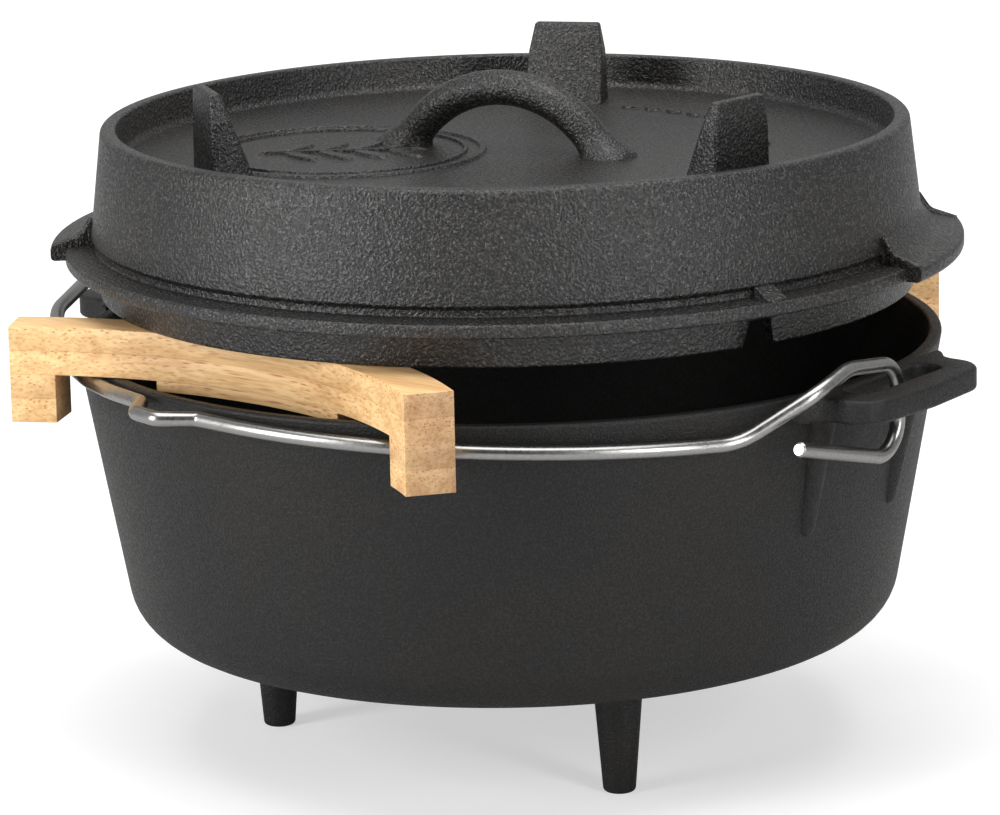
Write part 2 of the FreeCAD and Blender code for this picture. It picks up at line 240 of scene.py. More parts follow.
def moved(bm, offset):
    """Moves a whole shape."""
    bmesh.ops.translate(bm, verts=bm.verts, vec=offset)


def rounded(bm, edges, offset, segments):
    """Rounds a shape's edges."""
    bmesh.ops.bevel(bm, geom=edges, offset=offset, segments=segments, profile=0.5, affect="EDGES",
                    material=-1)


def spun(bm, points, angle=360.0, start=0.0, steps=ROUND_STEPS, closed=True):
    """Spins a profile of (radius, height) points about Z; a part turn gets end faces."""
    verts = [bm.verts.new(polar(start, p.x, p.z)) for p in points]
    pairs = list(zip(verts, verts[1:] + verts[:1])) if closed else list(zip(verts, verts[1:]))
    edges = [bm.edges.new(pair) for pair in pairs]
    full = angle >= 360.0
    result = bmesh.ops.spin(bm, geom=verts + edges, cent=(0, 0, 0), axis=Z_AXIS,
                            angle=radians(angle), steps=steps, use_merge=full, use_duplicate=False)
    if closed and not full:
        bm.faces.new(verts)
        last_verts = only(bmesh.types.BMVert, result["geom_last"])
        last_edges = only(bmesh.types.BMEdge, result["geom_last"])
        bmesh.ops.contextual_create(bm, geom=last_verts + last_edges)
    bmesh.ops.remove_doubles(bm, verts=bm.verts, dist=1e-7)


def stepped_block(bm, sections):
    """A block grown upwards from a square, each section (height, near, far, half width) in turn."""
    height, near, far, half = sections[0]
    bmesh.ops.create_grid(bm, x_segments=1, y_segments=1, size=0.5)
    ring = list(bm.verts)
    bmesh.ops.scale(bm, verts=ring, vec=(far - near, 2 * half, 1))
    bmesh.ops.translate(bm, verts=ring, vec=((near + far) / 2, 0, height))
    face = bm.faces[:][0]
    for next_height, next_near, next_far, next_half in sections[1:]:
        grown = bmesh.ops.extrude_face_region(bm, geom=[face])
        face = only(bmesh.types.BMFace, grown["geom"])[0]
        ring = list(face.verts)
        bmesh.ops.translate(bm, verts=ring, vec=(-(near + far) / 2, 0, next_height - height))
        bmesh.ops.scale(bm, verts=ring, vec=((next_far - next_near) / (far - near), next_half / half, 1))
        bmesh.ops.translate(bm, verts=ring, vec=((next_near + next_far) / 2, 0, 0))
        height, near, far, half = next_height, next_near, next_far, next_half
    bmesh.ops.holes_fill(bm, edges=bm.edges, sides=4)
    bmesh.ops.recalc_face_normals(bm, faces=bm.faces)


def swept(bm, path, radius_at, sides=32):
    """A round bar along the path, its radius set at each point; ends are closed."""
    route = bpy.data.curves.new("route", "CURVE")
    route.dimensions = "3D"
    route.bevel_depth = 1.0
    route.bevel_resolution = sides // 2 - 2
    route.use_fill_caps = True
    line = route.splines.new("POLY")
    line.points.add(len(path) - 1)
    for i, point in enumerate(path):
        line.points[i].co = (*point, 1.0)
        line.points[i].radius = radius_at(i / (len(path) - 1))
    holder = bpy.data.objects.new("route", route)
    mesh = bpy.data.meshes.new_from_object(holder)
    bm.from_mesh(mesh)
    bpy.data.objects.remove(holder)
    bpy.data.curves.remove(route)
    bpy.data.meshes.remove(mesh)


def finished(bm, name, body, material, smooth=35.0):
    """Turns a bmesh into a piece that rides on its body and shades smoothly up to an angle."""
    bmesh.ops.remove_doubles(bm, verts=bm.verts, dist=1e-6)
    bmesh.ops.recalc_face_normals(bm, faces=bm.faces)
    for edge in bm.edges:
        turn = edge.calc_face_angle(pi) if len(edge.link_faces) == 2 else pi
        edge.smooth = turn < radians(smooth)
    for face in bm.faces:
        face.smooth = True
    mesh = bpy.data.meshes.new(name)
    bm.to_mesh(mesh)
    bm.free()
    mesh.materials.append(material)
    piece = bpy.data.objects.new(name, mesh)
    bpy.context.scene.collection.objects.link(piece)
    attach(piece, body)
    return piece


# ---- Small helpers for materials ----

def new_material(name):
    """A material with its tree, its shader and the place on the piece."""
    material = bpy.data.materials.new(name)
    material.use_nodes = True
    tree = material.node_tree
    shader = tree.nodes["Principled BSDF"]
    place = tree.nodes.new("ShaderNodeTexCoord").outputs["Object"]
    return material, tree, shader, place


def node(tree, kind, **settings):
    """A shader node; each setting is an input of that name or else a property."""
    made = tree.nodes.new(kind)
    for key, value in settings.items():
        if key in made.inputs:
            made.inputs[key].default_value = value
        else:
            setattr(made, key, value)
    return made


def noise(tree, place, scale, detail=2.0, roughness=0.5):
    """Noise of a given fineness."""
    made = node(tree, "ShaderNodeTexNoise", Scale=scale, Detail=detail, Roughness=roughness)
    tree.links.new(place, made.inputs["Vector"])
    return made.outputs["Fac"]


def ramp(tree, source, stops):
    """A colour chosen by a value, from stops of (position, colour)."""
    made = tree.nodes.new("ShaderNodeValToRGB")
    tree.links.new(source, made.inputs["Fac"])
    elements = made.color_ramp.elements
    while len(elements) < len(stops):
        elements.new(0.5)
    for element, (position, colour) in zip(elements, stops):
        element.position = position
        element.color = (*colour, 1.0)
    return made.outputs["Color"]


def tinted(tree, colour, tint, amount):
    """A colour multiplied by a tint; each argument is a socket or a plain value."""
    made = node(tree, "ShaderNodeMix", data_type="RGBA", blend_type="MULTIPLY")
    factor_input, colour_input, tint_input = made.inputs[0], made.inputs[6], made.inputs[7]
    for value, socket in ((amount, factor_input), (colour, colour_input), (tint, tint_input)):
        if isinstance(value, bpy.types.NodeSocket):
            tree.links.new(value, socket)
        else:
            socket.default_value = value
    return made.outputs[2]


def mapped(tree, source, old_range, new_range):
    """A value laid from one range onto another, and held at the ends."""
    made = tree.nodes.new("ShaderNodeMapRange")
    tree.links.new(source, made.inputs[0])
    for socket, value in zip(made.inputs[1:5], (*old_range, *new_range)):
        socket.default_value = value
    return made.outputs[0]


def computed(tree, operation, source, second=0.5):
    """One step of arithmetic on a value."""
    made = node(tree, "ShaderNodeMath", operation=operation)
    tree.links.new(source, made.inputs[0])
    made.inputs[1].default_value = second
    return made.outputs[0]


def along_direction(tree, source, direction):
    """How far a vector points along a direction."""
    made = node(tree, "ShaderNodeVectorMath", operation="DOT_PRODUCT")
    tree.links.new(source, made.inputs[0])
    made.inputs[1].default_value = direction
    return made.outputs["Value"]


def bump(tree, height, strength, relief):
    """A bump node of a given relief."""
    made = node(tree, "ShaderNodeBump", Strength=strength, Distance=relief)
    tree.links.new(height, made.inputs["Height"])
    return made


# ---- Materials ----

def cast_iron(name, low_spot_painted_shade, skin, painted_highlights, fineness, relief, roughness, specular):
    """Seasoned sand-cast iron: a pebbled skin with painted shade in its low spots and painted highlights on
    its grain tops, following the bump.
    """
    material, tree, shader, place = new_material(name)
    pebble = noise(tree, place, fineness)
    fine = noise(tree, place, fineness * 2.3)
    patch = noise(tree, place, 14.0, 4.0, 0.6)
    # Painted shade in the pebble's low spots and painted highlights on its tops, from the same noise as the
    # bump
    base = ramp(tree, pebble, [(0.42, low_spot_painted_shade), (0.54, skin), (0.64, painted_highlights)])
    warm = ramp(tree, patch, [(0.40, COOL_IRON_TINT), (0.66, RUSTY_IRON_TINT)])
    tree.links.new(tinted(tree, base, warm, 1.0), shader.inputs["Base Color"])
    gloss = mapped(tree, pebble, (0.35, 0.65), (roughness + 0.12, roughness - 0.10))
    tree.links.new(gloss, shader.inputs["Roughness"])
    coarse_bump = bump(tree, pebble, 1.0, relief)
    fine_bump = bump(tree, fine, 1.0, relief * 0.3)
    tree.links.new(fine_bump.outputs["Normal"], coarse_bump.inputs["Normal"])
    tree.links.new(coarse_bump.outputs["Normal"], shader.inputs["Normal"])
    shader.inputs["Specular IOR Level"].default_value = specular
    return material


def steel_wire():
    """Drawn stainless wire, satin, with faint draw marks."""
    material, tree, shader, place = new_material("satin_wire")
    marks = noise(tree, place, 900.0)
    colour = ramp(tree, marks, [(0.3, WIRE_DARK), (0.7, WIRE_LIGHT)])
    gloss = mapped(tree, marks, (0.3, 0.7), (0.27, 0.33))
    tree.links.new(colour, shader.inputs["Base Color"])
    tree.links.new(gloss, shader.inputs["Roughness"])
    shader.inputs["Metallic"].default_value = 1.0
    return material


def along_fibres(tree, place, azimuth):
    """The place on a bar, turned to the bar and drawn out along its fibres."""
    turn = tree.nodes.new("ShaderNodeMapping")
    turn.inputs["Rotation"].default_value = (0, 0, -radians(azimuth))
    tree.links.new(place, turn.inputs["Vector"])
    stretch = tree.nodes.new("ShaderNodeMapping")
    stretch.inputs["Scale"].default_value = (1.0, 0.05, 1.0)
    tree.links.new(turn.outputs["Vector"], stretch.inputs["Vector"])
    return stretch.outputs["Vector"]


def strip_density(tree, place):
    """How close the fibres stand: sparse at the foot of each glued strip and dense at its top."""
    height = tree.nodes.new("ShaderNodeSeparateXYZ")
    tree.links.new(place, height.inputs[0])
    level = computed(tree, "SUBTRACT", height.outputs["Z"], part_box("front_bar_top_ply")[0].z)
    strips = computed(tree, "DIVIDE", level, PLY)
    within = computed(tree, "FRACT", strips)
    return mapped(tree, within, (0.0, 1.0), (0.25, 0.95))


def end_faces(tree, azimuth):
    """One on the faces across a bar's fibres, and nought on the others."""
    normal = tree.nodes.new("ShaderNodeNewGeometry").outputs["Normal"]
    facing = along_direction(tree, normal, polar(azimuth + 90, 1.0))
    return mapped(tree, computed(tree, "ABSOLUTE", facing), (0.66, 0.74), (0.0, 1.0))


def bamboo(name, azimuth, shade):
    """Sanded bamboo ply: long pale fibres along the bar and dark fibre ends; the faces across the fibres
    are darkened, partly as end grain and partly as painted shade.
    """
    material, tree, shader, place = new_material(name)
    along = along_fibres(tree, place, azimuth)
    fibre = noise(tree, along, 900.0, 3.0, 0.6)
    band = noise(tree, along, 160.0, 3.0, 0.55)
    dots = node(tree, "ShaderNodeTexVoronoi", Scale=1000.0, feature="F1")
    tree.links.new(along, dots.inputs["Vector"])
    light = tuple(c * shade for c in BAMBOO_LIGHT)
    deep = tuple(c * shade for c in BAMBOO_DEEP)
    base = ramp(tree, band, [(0.34, deep), (0.60, light)])
    streak = ramp(tree, fibre, [(0.38, FIBRE_TINT), (0.55, WHITE)])
    speck = ramp(tree, dots.outputs["Distance"], [(0.16, FIBRE_END_TINT), (0.36, WHITE)])
    wood = tinted(tree, base, streak, 0.75)
    wood = tinted(tree, wood, speck, strip_density(tree, place))
    # The faces across the fibres are darkened: partly end grain, partly painted shade
    wood = tinted(tree, wood, END_GRAIN_AND_SHADE_TINT, end_faces(tree, azimuth))
    tree.links.new(wood, shader.inputs["Base Color"])
    shader.inputs["Roughness"].default_value = 0.52
    fibre_bump = bump(tree, fibre, 0.5, 0.12 * MM)
    tree.links.new(fibre_bump.outputs["Normal"], shader.inputs["Normal"])
    return material


# Each iron's colours run from painted shade in the low spots, through its skin tone, to painted highlights
# on the bump's tops
LID_IRON = cast_iron("lid_iron", low_spot_painted_shade=(0.0030, 0.0029, 0.0028), skin=(0.0075, 0.0072, 0.0069),
                     painted_highlights=(0.0420, 0.0400, 0.0380), fineness=950.0, relief=0.60 * MM,
                     roughness=0.30, specular=0.62)
POT_IRON = cast_iron("pot_iron", low_spot_painted_shade=(0.0085, 0.0085, 0.0085), skin=(0.0120, 0.0120, 0.0120),
                     painted_highlights=(0.0200, 0.0200, 0.0200), fineness=1300.0, relief=0.30 * MM,
                     roughness=0.48, specular=0.32)
WIRE = steel_wire()


# ---- Pot ----

def wall_radius(height):
    """The tapered wall's outer radius at a height."""
    return BASE_R + (RIM_R - BASE_R) * (height - BASE_Z) / (RIM_Z - BASE_Z)


def pot_shell():
    """Floor and tapered wall in one turned shape."""
    floor = BASE_Z + FLOOR
    corners = [(0.0, BASE_Z, 0), (BASE_R, BASE_Z, 19.0), (RIM_R, RIM_Z, 1.2),
               (wall_radius(RIM_Z) - WALL, RIM_Z, 1.2), (wall_radius(floor) - WALL, floor, 14.5),
               (0.0, floor, 0)]
    bm = bmesh.new()
    spun(bm, profile(corners, 10), closed=False)
    return finished(bm, "pot_shell", "pot", POT_IRON)


def pot_leg(number, azimuth):
    """A leg that tapers to a rounded tip."""
    root = BASE_Z + SUNK
    corners = [(0.0, 0.0, 0), (LEG_TIP_R, 0.0, 1.5), (LEG_ROOT_R, root, 0), (0.0, root, 0)]
    bm = bmesh.new()
    spun(bm, profile(corners), steps=48, closed=False)
    moved(bm, polar(azimuth, LEG_CIRCLE))
    return finished(bm, "pot_leg_%d" % number, "pot", POT_IRON)


def upright_rim(edge):
    """Whether an edge runs level between a flat face and an upright one."""
    square = len(edge.link_faces) == 2 and abs(edge.calc_face_angle(0) - pi / 2) < 0.2
    return square and abs(edge.verts[0].co.z - edge.verts[1].co.z) < 1e-6


def ear_plate(azimuth, name):
    """The flat loop: an outline with a slot through it, thickened and rounded."""
    inside, root, neck, shoulder = RIM_R - WALL, RIM_R - 2 * MM, RIM_R + 4 * MM, EAR_X - 2 * MM
    spread, half, bend = EAR_ROOT_HALF_WIDTH, EAR_HALF_WIDTH, EAR_HALF_WIDTH - 1 * MM
    outline = [(inside, 0, 0), (inside, -spread, 0), (root, -spread, 3), (neck, -half, 8),
               (shoulder, -bend, 12), (EAR_X, 0, 0), (shoulder, bend, 12),
               (neck, half, 8), (root, spread, 3), (inside, spread, 0), (inside, 0, 0)]
    slot = [(SLOT_NEAR, 0, 0), (SLOT_NEAR, -SLOT_REACH, 4), (SLOT_FAR, -SLOT_REACH, 4),
            (SLOT_FAR, SLOT_REACH, 4), (SLOT_NEAR, SLOT_REACH, 4), (SLOT_NEAR, 0, 0)]
    bm = bmesh.new()
    loops = []
    for corners in (outline, slot):
        path = filleted([(Vector((x, y, RIM_Z - EAR_THICK)), r * MM) for x, y, r in corners])[:-1]
        verts = [bm.verts.new(point) for point in path]
        loops += [bm.edges.new(pair) for pair in zip(verts, verts[1:] + verts[:1])]
    bmesh.ops.triangle_fill(bm, use_beauty=True, use_dissolve=False, edges=loops)
    grown = bmesh.ops.extrude_face_region(bm, geom=list(bm.faces))
    raised = only(bmesh.types.BMVert, grown["geom"])
    bmesh.ops.translate(bm, verts=raised, vec=(0, 0, EAR_THICK))
    rounded(bm, [edge for edge in bm.edges if upright_rim(edge)], EAR_EDGE_ROUND, 4)
    turned(bm, azimuth)
    return finished(bm, name, "pot", POT_IRON, 40.0)


def ear_rib(azimuth, name):
    """A tapered rib under one arm of an ear, half sunk in the wall, with a round lower end."""
    top = RIM_Z - EAR_THICK + 1.0 * MM
    bottom = top - RIB_LENGTH
    start = polar(azimuth, wall_radius(top) - 1.5 * MM, top)
    end = polar(azimuth, wall_radius(bottom) - SUNK, bottom)
    tip = (end - start).length + RIB_END_R
    round_end = [(Vector((0, 0, tip)), 0), (Vector((RIB_END_R, 0, tip)), RIB_END_ROUND),
                 (Vector((RIB_TOP_R, 0, 0)), 0)]
    bm = bmesh.new()
    spun(bm, filleted(round_end, 10), steps=48, closed=False)
    lean = (end - start).to_track_quat("Z", "Y").to_matrix()
    bmesh.ops.rotate(bm, verts=bm.verts, matrix=lean)
    moved(bm, start)
    return finished(bm, name, "pot", POT_IRON)


POT = pot_shell()
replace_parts(POT, "pot_casting")
for k, azimuth in enumerate(LEG_AZIMUTHS):
    pot_leg(k + 1, azimuth)
for azimuth, label in ((0, "right"), (180, "left")):
    ear_plate(azimuth, "pot_%s_ear" % label)
    ear_rib(azimuth - RIB_OFFSET, "pot_%s_rib_one" % label)
    ear_rib(azimuth + RIB_OFFSET, "pot_%s_rib_two" % label)


# ---- Lid ----

def lid_shell():
    """Plate, raised wall, undercut groove, flange and skirt in one turned shape."""
    inner = SKIRT_TIP_R - 4.4 * MM
    corners = [(0.0, TRAY, 0), (LID_RIM_R - 6.5 * MM, TRAY, 3.0), (LID_RIM_R - 5.2 * MM, LID_TOP, 1.0),
               (LID_RIM_R, LID_TOP, 2.0), (WALL_FOOT_R, WALL_FOOT, 0.8), (GROOVE_R, GROOVE_TOP, 0.6),
               (GROOVE_R, FLANGE_LIP, 0.8), (FLANGE_R, FLANGE_TOP, 1.2), (FLANGE_R, FLANGE_SEAT, 1.0),
               (SKIRT_R, FLANGE_SEAT, 0.8), (SKIRT_TIP_R, LID_Z, 1.0), (inner, LID_Z, 1.0),
               (GROOVE_R - 4.6 * MM, GROOVE_TOP, 8.0), (LID_RIM_R - 3.4 * MM, UNDERSIDE, 8.0),
               (0.0, UNDERSIDE, 0)]
    bm = bmesh.new()
    spun(bm, profile(corners, 5), closed=False)
    shell = finished(bm, "lid_shell", "lid", LID_IRON)
    cut_probe_slot(shell)
    return shell


def cut_probe_slot(shell):
    """Cuts the flared slot for a thermometer lead out of the skirt."""
    near, far = SKIRT_TIP_R - 12 * MM, SKIRT_R + 3 * MM
    bm = bmesh.new()
    stepped_block(bm, [(LID_Z - 2 * MM, near, far, 7.0 * MM), (LID_Z + 9 * MM, near, far, 4.2 * MM)])
    turned(bm, PROBE_AZIMUTH)
    cutter_mesh = bpy.data.meshes.new("slot_cutter")
    bm.to_mesh(cutter_mesh)
    bm.free()
    cutter = bpy.data.objects.new("slot_cutter", cutter_mesh)
    bpy.context.scene.collection.objects.link(cutter)
    boolean = shell.modifiers.new("probe_slot", "BOOLEAN")
    boolean.operation = "DIFFERENCE"
    boolean.solver = "EXACT"
    boolean.object = cutter
    ready = shell.evaluated_get(bpy.context.evaluated_depsgraph_get())
    cut_mesh = bpy.data.meshes.new_from_object(ready)
    shell.modifiers.clear()
    shell.data = cut_mesh
    bpy.data.objects.remove(cutter)


def lid_foot(number, azimuth):
    """A wedge foot: upright outside, slanted inside, narrowing upwards, with worn edges."""
    bm = bmesh.new()
    stepped_block(bm, [(TRAY - SUNK, FOOT_OUTER - 14.8 * MM, FOOT_OUTER, 14.4 * MM),
                       (FOOT_TOP - 10 * MM, FOOT_OUTER - 7.3 * MM, FOOT_OUTER, 13.6 * MM),
                       (FOOT_TOP, FOOT_OUTER - 4.0 * MM, FOOT_OUTER, 11.8 * MM)])
    sharp = []
    for edge in bm.edges:
        above_tray = max(vert.co.z for vert in edge.verts) > TRAY
        if above_tray and edge.calc_face_angle(0) > radians(30):
            sharp.append(edge)
    rounded(bm, sharp, FOOT_EDGE_ROUND, 3)
    turned(bm, azimuth)
    return finished(bm, "lid_foot_%d" % number, "lid", LID_IRON, 50.0)


def handle_radius(along):
    """The handle's radius at a share of its length, flared towards both feet."""
    from_foot = (min(along, 1 - along) - FLARE_START) / FLARE_LENGTH
    return HANDLE_R + FLARE * max(0.0, min(1.0, 1 - from_foot)) ** 2


def lid_handle():
    """The arched bar, flared at both feet and cut off just below the tray."""
    curve = (HANDLE_HALF_SPAN ** 2 + HANDLE_RISE ** 2) / (2 * HANDLE_RISE)
    centre = TRAY + HANDLE_RISE - curve
    low = asin((TRAY - HANDLE_DEPTH - centre) / curve)
    path = []
    for k in range(HANDLE_STEPS + 1):
        turn = pi - low - (pi - 2 * low) * k / HANDLE_STEPS
        path.append(Vector((curve * cos(turn), 0, centre + curve * sin(turn))))
    bm = bmesh.new()
    swept(bm, path, handle_radius, 40)
    whole = bm.verts[:] + bm.edges[:] + bm.faces[:]
    cut = bmesh.ops.bisect_plane(bm, geom=whole, plane_co=(0, 0, TRAY - SUNK), plane_no=(0, 0, 1),
                                 clear_inner=True)
    bmesh.ops.holes_fill(bm, edges=only(bmesh.types.BMEdge, cut["geom_cut"]))
    turned(bm, HANDLE_AZIMUTH)
    return finished(bm, "lid_handle", "lid", LID_IRON, 60.0)


def lid_tab(azimuth, name):
    """A lifting tab: the flange pushed out and ramped up to the wall."""
    inside = WALL_FOOT_R - 3 * MM
    corners = [(inside, FLANGE_SEAT, 0), (TAB_R, FLANGE_SEAT, 1.5), (TAB_R, FLANGE_LIP, 1.5),
               (WALL_FOOT_R + 3.5 * MM, FLANGE_LIP + 2.8 * MM, 6.0), (inside, FLANGE_LIP + 12 * MM, 0)]
    bm = bmesh.new()
    spun(bm, profile(corners), 2 * TAB_HALF_ANGLE, azimuth - TAB_HALF_ANGLE, 40)
    return finished(bm, name, "lid", LID_IRON)


def bead_radius(along):
    """The bead has the same radius all along."""
    return BEAD_R


def tab_bead(azimuth, name):
    """The raised bead along one side of a tab."""
    top = polar(azimuth, WALL_FOOT_R - 0.5 * MM, FLANGE_LIP + 9.0 * MM)
    bend = polar(azimuth, WALL_FOOT_R + 3.5 * MM, FLANGE_LIP + 3.0 * MM)
    tip = polar(azimuth, TAB_R - 1.2 * MM, FLANGE_LIP - 0.4 * MM)
    bm = bmesh.new()
    swept(bm, filleted([(top, 0), (bend, 6 * MM), (tip, 0)], 10), bead_radius, 14)
    return finished(bm, name, "lid", LID_IRON, 60.0)


def probe_rib():
    """The small rib across the flange that marks the thermometer slot."""
    inside = WALL_FOOT_R - 2.5 * MM
    tip = FLANGE_R - 1.5 * MM
    root = FLANGE_TOP - 1 * MM
    crest = FLANGE_TOP + 4 * MM
    corners = [(inside, root, 0), (tip, root, 0), (tip, FLANGE_TOP + 0.6 * MM, 0.5),
               (WALL_FOOT_R + 0.4 * MM, crest, 1.0), (inside, crest, 0)]
    bm = bmesh.new()
    spun(bm, profile(corners), PROBE_RIB_ANGLE, PROBE_AZIMUTH - PROBE_RIB_ANGLE / 2, 6)
    return finished(bm, "lid_probe_rib", "lid", LID_IRON)


def badge_ring(radius, width, name):
    """A raised ring of the plain badge cast in the tray."""
    root = TRAY - BADGE_ROOT
    crest = TRAY + BADGE_RELIEF
    corners = [(radius - width, root, 0), (radius + width, root, 0), (radius + width * 0.6, crest, 0.3),
               (radius - width * 0.6, crest, 0.3), (radius - width, root, 0)]
    bm = bmesh.new()
    spun(bm, profile(corners, 3), steps=160, closed=False)
    moved(bm, BADGE_PLACE)
    return finished(bm, name, "lid", LID_IRON)


def raised_shape(bm, length, width, azimuth, place, sides):
    """A flat oval or bar standing up from the tray, with sloping sides."""
    shape = bmesh.ops.create_circle(bm, cap_ends=True, segments=sides, radius=1.0)["verts"]
    bmesh.ops.scale(bm, verts=shape, vec=(length / 2, width / 2, 1))
    bmesh.ops.translate(bm, verts=shape, vec=(0, 0, TRAY - BADGE_ROOT))
    face = [f for f in bm.faces if all(v in shape for v in f.verts)]
    grown = bmesh.ops.extrude_face_region(bm, geom=face)["geom"]
    crest = only(bmesh.types.BMVert, grown)
    bmesh.ops.translate(bm, verts=crest, vec=(0, 0, BADGE_RELIEF + BADGE_ROOT))
    bmesh.ops.scale(bm, verts=crest, vec=(0.82, 0.72, 1))
    bmesh.ops.rotate(bm, verts=shape + crest, matrix=Matrix.Rotation(radians(azimuth), 3, "Z"))
    bmesh.ops.translate(bm, verts=shape + crest, vec=place)


def badge_sprig():
    """A plain sprig: a stem with paired leaves, inside the badge."""
    bm = bmesh.new()
    raised_shape(bm, 64 * MM, 2.2 * MM, SPRIG_AZIMUTH, BADGE_PLACE, 24)
    for step in LEAF_STEPS:
        for side in (-1, 1):
            leaf_azimuth = SPRIG_AZIMUTH + side * LEAF_ANGLE
            place = BADGE_PLACE + polar(SPRIG_AZIMUTH, step * MM) + polar(leaf_azimuth, 10 * MM)
            raised_shape(bm, 20 * MM, 6.5 * MM, leaf_azimuth, place, 24)
    return finished(bm, "lid_badge_sprig", "lid", LID_IRON, 40.0)


def tray_dashes():
    """A row of plain raised dashes along the rear of the tray."""
    bm = bmesh.new()
    for azimuth in DASH_AZIMUTHS:
        raised_shape(bm, 7.5 * MM, 3.0 * MM, azimuth + 90, polar(azimuth, DASH_CIRCLE), 16)
    return finished(bm, "lid_tray_dashes", "lid", LID_IRON, 40.0)


LID = lid_shell()
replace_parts(LID, "lid_casting")
probe_rib()
badge_ring(49 * MM, 1.6 * MM, "lid_badge_outer_ring")
badge_ring(43 * MM, 0.9 * MM, "lid_badge_inner_ring")
badge_sprig()
tray_dashes()
for k, azimuth in enumerate(FOOT_AZIMUTHS):
    lid_foot(k + 1, azimuth)
lid_handle()
for label, azimuth in zip(("right", "left"), TAB_AZIMUTHS):
    lid_tab(azimuth, "lid_%s_tab" % label)
    tab_bead(azimuth - TAB_HALF_ANGLE + BEAD_INSET, "lid_%s_tab_bead_one" % label)
    tab_bead(azimuth + TAB_HALF_ANGLE - BEAD_INSET, "lid_%s_tab_bead_two" % label)


# ---- Bail ----

def hook_corners(side, shoulder):
    """One hook's corners from its tip, and the straight shoulder beside it."""
    x = side * HOOK_X
    return [(Vector((x, y * MM, z * MM)), r * MM) for y, z, r in (*HOOK, shoulder)]


def route_corners(corners):
    """Corners of the wire's route, from (azimuth, radius, height, rounding)."""
    return [(polar(a, r * MM, z * MM), rounding * MM) for a, r, z, rounding in corners]


def bail():
    """The wire's route, hook to hook round the front, with the hanging notch off-centre."""
    step = (ARCH_START - ARCH_END) / (len(ARCH_HEIGHTS) - 1)
    corner_r = ARCH_R / cos(radians(step / 2))
    arch = []
    for k, height in enumerate(ARCH_HEIGHTS):
        arch.append((polar(ARCH_START - step * k, corner_r, height * MM), ARCH_ROUND))
    front = route_corners([ARCH_ENTRY]) + arch + route_corners(NOTCH + UNDER_BAR)
    right_hook = hook_corners(1, RIGHT_SHOULDER)
    left_hook = hook_corners(-1, LEFT_SHOULDER)
    path = filleted(right_hook + front + left_hook[::-1], 14)
    spread = [path[0]]
    for point in path[1:]:
        if (point - spread[-1]).length > WIRE_SPACING:
            spread.append(point)
    first_run = (spread[1] - spread[0]).normalized()
    last_run = (spread[-2] - spread[-1]).normalized()
    spread.insert(1, spread[0] + first_run * WIRE_CHAMFER)
    spread.insert(-1, spread[-1] + last_run * WIRE_CHAMFER)
    last = len(spread) - 1

    def wire_radius(along):
        at_tip = round(along * last) in (0, last)
        return WIRE_R - WIRE_CHAMFER if at_tip else WIRE_R

    bm = bmesh.new()
    swept(bm, spread, wire_radius, 24)
    return finished(bm, "bail", "bail", WIRE, 40.0)


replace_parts(bail(), "bail_wire")


# ---- Bamboo bars ----

def ply_span(name):
    """The first and last angle of a strip about its bar's centre."""
    if "locating_pad" in name:
        return -BAR_PAD_ANGLE, BAR_PAD_ANGLE
    if "left_leg" in name:
        return BAR_LEG_ANGLE, BAR_HALF_ANGLE
    if "right_leg" in name:
        return -BAR_HALF_ANGLE, -BAR_LEG_ANGLE
    return -BAR_HALF_ANGLE, BAR_HALF_ANGLE


def ply(name, azimuth, material):
    """One glued strip, spun about the bar's own centre of curve, taken from its node's heights."""
    low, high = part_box(name)
    first, last = ply_span(name)
    corners = [(BAR_INNER, low.z), (BAR_OUTER, low.z), (BAR_OUTER, high.z), (BAR_INNER, high.z)]
    steps = max(4, int((last - first) / BAR_STEP_ANGLE))
    bm = bmesh.new()
    spun(bm, [Vector((r, 0, z)) for r, z in corners], last - first, 180 + first, steps)
    bmesh.ops.recalc_face_normals(bm, faces=bm.faces)
    sharp = [e for e in bm.edges if len(e.link_faces) == 2 and e.calc_face_angle(0) > radians(60)]
    rounded(bm, sharp, BAR_EDGE_ROUND, 2)
    moved(bm, (BAR_CENTRE, 0, 0))
    turned(bm, azimuth)
    body = "front_bar" if name.startswith("front") else "rear_bar"
    piece = finished(bm, name.replace("_bar_", "_bamboo_"), body, material)
    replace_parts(piece, name)


for bar_name, bar_azimuth in BAR_AZIMUTHS.items():
    for strip, shade in PLY_SHADES.items():
        material = bamboo("%s_%s" % (bar_name, strip), bar_azimuth, shade)
        for cad_node in sorted(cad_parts):
            if cad_node.startswith(bar_name) and cad_node.endswith(strip):
                ply(cad_node, bar_azimuth, material)


# ---- Camera, light and floor ----

def camera():
    """A long lens, low and to the front right, tipped by about a degree."""
    stand = Vector((0.9886, -1.3498, 0.5044))
    heading = radians(126.346)
    pitch = 0.2282
    roll = 0.0212
    ahead = Vector((cos(heading) * cos(pitch), sin(heading) * cos(pitch), -sin(pitch)))
    right = ahead.cross(Z_AXIS).normalized()
    up = right.cross(ahead)
    tipped_right = right * cos(roll) - up * sin(roll)
    tipped_up = right * sin(roll) + up * cos(roll)
    data = bpy.data.cameras.new("camera")
    data.lens = 177.3
    data.sensor_width = 36.0
    data.clip_start = 0.05
    data.clip_end = 50.0
    made = bpy.data.objects.new("camera", data)
    bpy.context.scene.collection.objects.link(made)
    turn = Matrix((tipped_right, tipped_up, -ahead)).transposed()
    made.matrix_world = Matrix.Translation(stand) @ turn.to_4x4()
    bpy.context.scene.camera = made


def soft_box(name, azimuth, distance, height, size, power):
    """A rectangular light that faces the oven."""
    data = bpy.data.lights.new(name, "AREA")
    data.shape = "RECTANGLE"
    data.size = size[0]
    data.size_y = size[1]
    data.energy = power
    made = bpy.data.objects.new(name, data)
    bpy.context.scene.collection.objects.link(made)
    place = polar(azimuth, distance, height)
    made.location = place
    made.rotation_euler = (LIT_POINT - place).to_track_quat("-Z", "Y").to_euler()


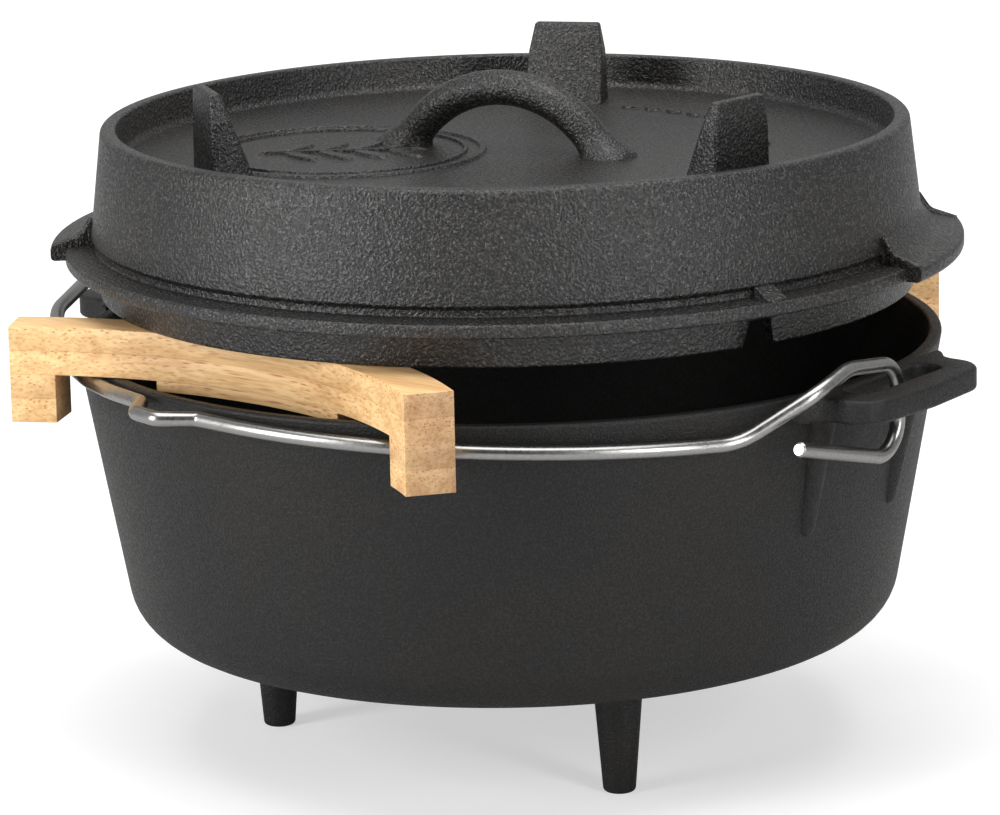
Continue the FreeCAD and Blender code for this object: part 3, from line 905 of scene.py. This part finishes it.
def studio_floor():
    """A pale matt floor, lifted to white far off by a glow that gives the oven no light."""
    bm = bmesh.new()
    bmesh.ops.create_grid(bm, x_segments=1, y_segments=1, size=12.0)
    mesh = bpy.data.meshes.new("floor")
    bm.to_mesh(mesh)
    bm.free()
    material, tree, shader, place = new_material("pale_floor")
    shader.inputs["Base Color"].default_value = FLOOR_GREY
    shader.inputs["Roughness"].default_value = 0.9
    shader.inputs["Specular IOR Level"].default_value = 0.1
    shader.inputs["Emission Color"].default_value = (*WHITE, 1.0)
    distance = node(tree, "ShaderNodeVectorMath", operation="LENGTH")
    tree.links.new(place, distance.inputs[0])
    lift = mapped(tree, distance.outputs["Value"], (0.5, 2.5), (0.5, 1.0))
    path = tree.nodes.new("ShaderNodeLightPath")
    seen = node(tree, "ShaderNodeMath", operation="MULTIPLY")
    tree.links.new(lift, seen.inputs[0])
    tree.links.new(path.outputs["Is Camera Ray"], seen.inputs[1])
    tree.links.new(seen.outputs[0], shader.inputs["Emission Strength"])
    mesh.materials.append(material)
    floor = bpy.data.objects.new("floor", mesh)
    bpy.context.scene.collection.objects.link(floor)


def studio_world():
    """White behind the object; the light it gives is soft above and dim from the front."""
    world = bpy.data.worlds.new("studio")
    world.use_nodes = True
    tree = world.node_tree
    seen = tree.nodes["Background"]
    seen.inputs["Color"].default_value = (*WHITE, 1.0)
    seen.inputs["Strength"].default_value = 1.0
    place = tree.nodes.new("ShaderNodeTexCoord").outputs["Generated"]
    facing = along_direction(tree, place, polar(STUDIO_FRONT, 1.0))
    dim = mapped(tree, facing, (-0.3, 0.8), (0.58, 0.03))
    lit = node(tree, "ShaderNodeBackground")
    tree.links.new(dim, lit.inputs["Strength"])
    path = tree.nodes.new("ShaderNodeLightPath")
    mix = tree.nodes.new("ShaderNodeMixShader")
    tree.links.new(path.outputs["Is Camera Ray"], mix.inputs[0])
    tree.links.new(lit.outputs[0], mix.inputs[1])
    tree.links.new(seen.outputs[0], mix.inputs[2])
    tree.links.new(mix.outputs[0], tree.nodes["World Output"].inputs["Surface"])
    bpy.context.scene.world = world


def studio():
    """The floor, the background and the soft boxes."""
    studio_floor()
    studio_world()
    for box in SOFT_BOXES:
        soft_box(*box)
    bpy.context.scene.view_settings.view_transform = "Standard"


camera()
studio()
